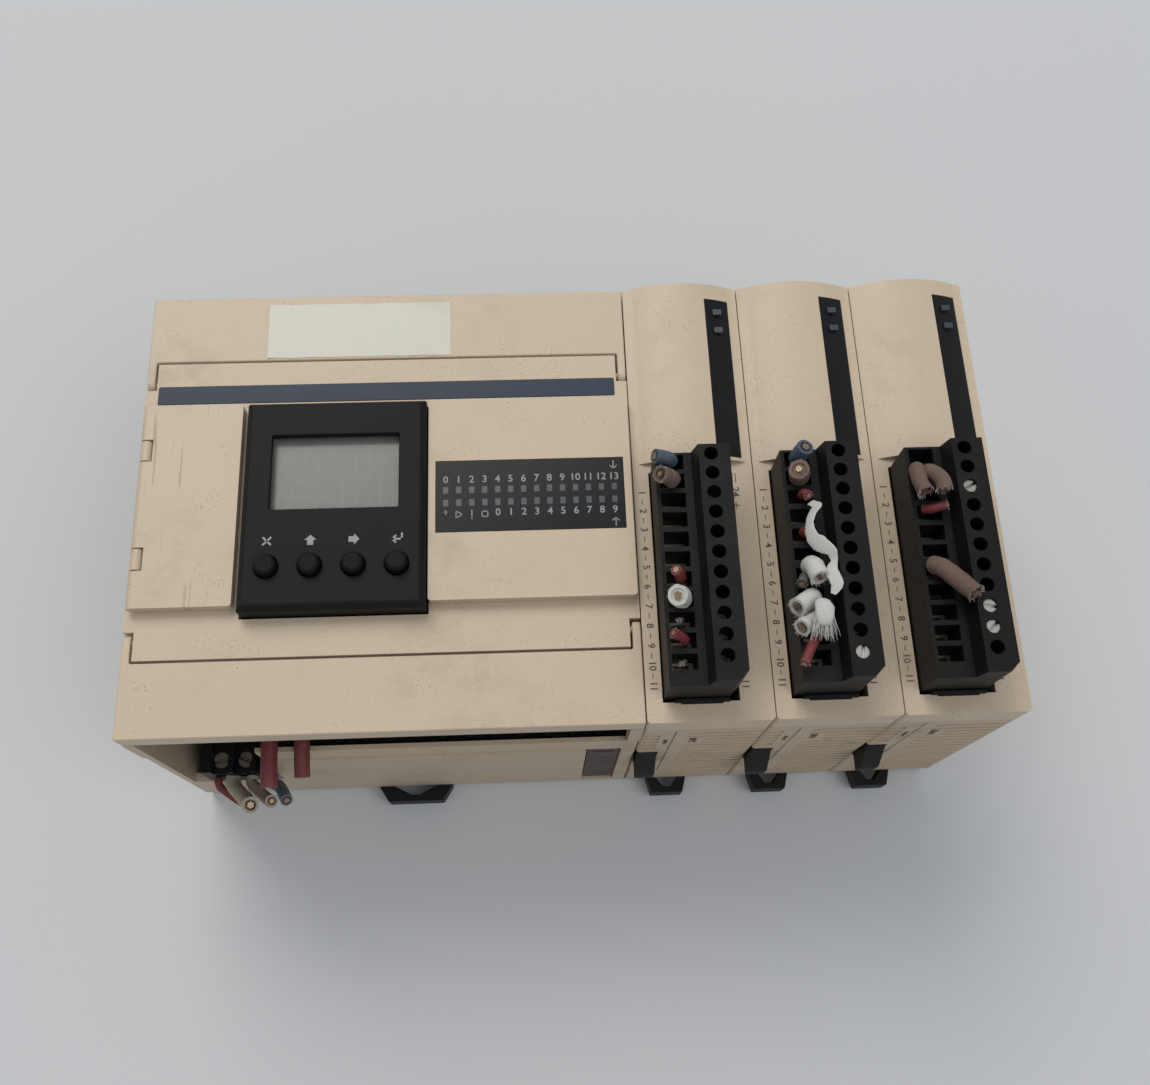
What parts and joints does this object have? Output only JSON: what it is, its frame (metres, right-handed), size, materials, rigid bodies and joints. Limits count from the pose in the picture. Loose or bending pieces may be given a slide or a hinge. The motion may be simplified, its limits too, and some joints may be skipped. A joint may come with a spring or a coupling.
{
  "type": "plc module",
  "caption": "Rail-mounted programmable controller with a plug-in display and keypad, hinged terminal covers and a row of analogue modules with pull-off screw terminal plugs.",
  "frame": {"origin": "on the mounting rail's centreline, in the back plane, at the middle of the row", "axes": "+X along the rail from the controller towards the expansion modules, +Y up the front face, +Z out of the front"},
  "size_m": [0.1652, 0.0993, 0.0845],
  "materials": {
    "housing_beige": "fine-grained moulded plastic, slightly yellowed",
    "cover_beige": "fine-grained moulded plastic",
    "black_plastic": "satin moulded plastic",
    "plug_black": "satin glass-filled plastic",
    "display_plastic": "satin black plastic",
    "key_plastic": "satin black plastic",
    "lens_clear": "clear glossy lens",
    "lcd_glass": "grey-green liquid-crystal panel",
    "indicator_smoke": "smoked glossy window",
    "strip_slate": "painted slate-blue strip",
    "screw_steel": "zinc-plated, slightly dull",
    "brass_contact": "bright stamped contact",
    "circuit_board": "green solder mask",
    "port_dark": "dark moulded socket",
    "pot_cream": "cream plastic",
    "wire_red": "soft red insulation",
    "wire_brown": "soft red-brown insulation"
  },
  "bodies": {
    "row": {"cpu_rear_housing": "housing_beige", "cpu_front_housing": "housing_beige", "indicator_window": "indicator_smoke", "trim_strip": "strip_slate", "top_terminal_block": "black_plastic", "bottom_terminal_block": "black_plastic", "cpu_terminal_screws": "screw_steel", "cpu_board": "circuit_board", "power_board": "circuit_board", "serial_port": "port_dark", "cpu_wires": "wire_red", "cartridge_cover": "housing_beige", "bus_connectors": "black_plastic", "module_1_rear_housing": "housing_beige", "module_1_front_housing": "cover_beige", "module_1_status_window": "indicator_smoke", "module_1_board": "circuit_board", "module_1_header": "black_plastic", "module_2_rear_housing": "housing_beige", "module_2_front_housing": "cover_beige", "module_2_status_window": "indicator_smoke", "module_2_board": "circuit_board", "module_2_header": "black_plastic", "module_3_rear_housing": "housing_beige", "module_3_front_housing": "cover_beige", "module_3_status_window": "indicator_smoke", "module_3_board": "circuit_board", "module_3_header": "black_plastic"},
    "top_cover": {"top_terminal_cover": "cover_beige"},
    "bottom_cover": {"bottom_terminal_cover": "cover_beige"},
    "port_door": {"port_door": "cover_beige"},
    "display": {"display_housing": "display_plastic", "display_lens": "lens_clear", "display_glass": "lcd_glass", "display_board": "circuit_board"},
    "key_cancel": {"key_cancel": "key_plastic"},
    "key_up": {"key_up": "key_plastic"},
    "key_right": {"key_right": "key_plastic"},
    "key_enter": {"key_enter": "key_plastic"},
    "trim_pot_1": {"trim_pot_1": "pot_cream"},
    "trim_pot_2": {"trim_pot_2": "pot_cream"},
    "cpu_clip": {"cpu_rail_clip": "black_plastic"},
    "module_1_plug": {"module_1_plug": "plug_black", "module_1_plug_screws": "screw_steel", "module_1_wire_clamps": "brass_contact", "module_1_wires": "wire_red"},
    "module_1_clip": {"module_1_rail_clip": "black_plastic"},
    "module_1_latch": {"module_1_latch": "black_plastic"},
    "module_2_plug": {"module_2_plug": "plug_black", "module_2_plug_screws": "screw_steel", "module_2_wire_clamps": "brass_contact", "module_2_wires": "wire_red"},
    "module_2_clip": {"module_2_rail_clip": "black_plastic"},
    "module_2_latch": {"module_2_latch": "black_plastic"},
    "module_3_plug": {"module_3_plug": "plug_black", "module_3_plug_screws": "screw_steel", "module_3_wire_clamps": "brass_contact", "module_3_wires": "wire_brown"},
    "module_3_clip": {"module_3_rail_clip": "black_plastic"},
    "module_3_latch": {"module_3_latch": "black_plastic"}
  },
  "joints": [
    {"name": "top_cover_hinge", "type": "hinge", "parent": "row", "child": "top_cover", "pos_m": [-0.03525, 0.026, 0.066], "axis": [1, 0, 0], "range_deg": [0, 95]},
    {"name": "bottom_cover_hinge", "type": "hinge", "parent": "row", "child": "bottom_cover", "pos_m": [-0.03525, -0.027, 0.066], "axis": [-1, 0, 0], "range_deg": [0, 95]},
    {"name": "port_door_hinge", "type": "hinge", "parent": "row", "child": "port_door", "pos_m": [-0.08085, -0.00085, 0.0689], "axis": [0, -1, 0], "range_deg": [0, 105]},
    {"name": "display_pull", "type": "slide", "parent": "row", "child": "display", "axis": [0, 0, 1], "range_m": [0, 0.02]},
    {"name": "key_cancel_press", "type": "slide", "parent": "display", "child": "key_cancel", "axis": [0, 0, -1], "range_m": [0, 0.0007], "stiffness_N_per_m": 400},
    {"name": "key_up_press", "type": "slide", "parent": "display", "child": "key_up", "axis": [0, 0, -1], "range_m": [0, 0.0007], "stiffness_N_per_m": 400},
    {"name": "key_right_press", "type": "slide", "parent": "display", "child": "key_right", "axis": [0, 0, -1], "range_m": [0, 0.0007], "stiffness_N_per_m": 400},
    {"name": "key_enter_press", "type": "slide", "parent": "display", "child": "key_enter", "axis": [0, 0, -1], "range_m": [0, 0.0007], "stiffness_N_per_m": 400},
    {"name": "trim_pot_1_turn", "type": "hinge", "parent": "row", "child": "trim_pot_1", "pos_m": [-0.07495, -0.013, 0.058], "axis": [0, 0, 1], "range_deg": [-135, 135]},
    {"name": "trim_pot_2_turn", "type": "hinge", "parent": "row", "child": "trim_pot_2", "pos_m": [-0.06775, -0.013, 0.058], "axis": [0, 0, 1], "range_deg": [-135, 135]},
    {"name": "cpu_clip_slide", "type": "slide", "parent": "row", "child": "cpu_clip", "axis": [0, -1, 0], "range_m": [0, 0.004], "stiffness_N_per_m": 600},
    {"name": "module_1_plug_pull", "type": "slide", "parent": "row", "child": "module_1_plug", "axis": [0, 0, 1], "range_m": [0, 0.02]},
    {"name": "module_1_clip_slide", "type": "slide", "parent": "row", "child": "module_1_clip", "axis": [0, -1, 0], "range_m": [0, 0.004], "stiffness_N_per_m": 600},
    {"name": "module_1_latch_slide", "type": "slide", "parent": "row", "child": "module_1_latch", "axis": [0, 1, 0], "range_m": [0, 0.003]},
    {"name": "module_2_plug_pull", "type": "slide", "parent": "row", "child": "module_2_plug", "axis": [0, 0, 1], "range_m": [0, 0.02]},
    {"name": "module_2_clip_slide", "type": "slide", "parent": "row", "child": "module_2_clip", "axis": [0, -1, 0], "range_m": [0, 0.004], "stiffness_N_per_m": 600},
    {"name": "module_2_latch_slide", "type": "slide", "parent": "row", "child": "module_2_latch", "axis": [0, 1, 0], "range_m": [0, 0.003]},
    {"name": "module_3_plug_pull", "type": "slide", "parent": "row", "child": "module_3_plug", "axis": [0, 0, 1], "range_m": [0, 0.02]},
    {"name": "module_3_clip_slide", "type": "slide", "parent": "row", "child": "module_3_clip", "axis": [0, -1, 0], "range_m": [0, 0.004], "stiffness_N_per_m": 600},
    {"name": "module_3_latch_slide", "type": "slide", "parent": "row", "child": "module_3_latch", "axis": [0, 1, 0], "range_m": [0, 0.003]}
  ]
}
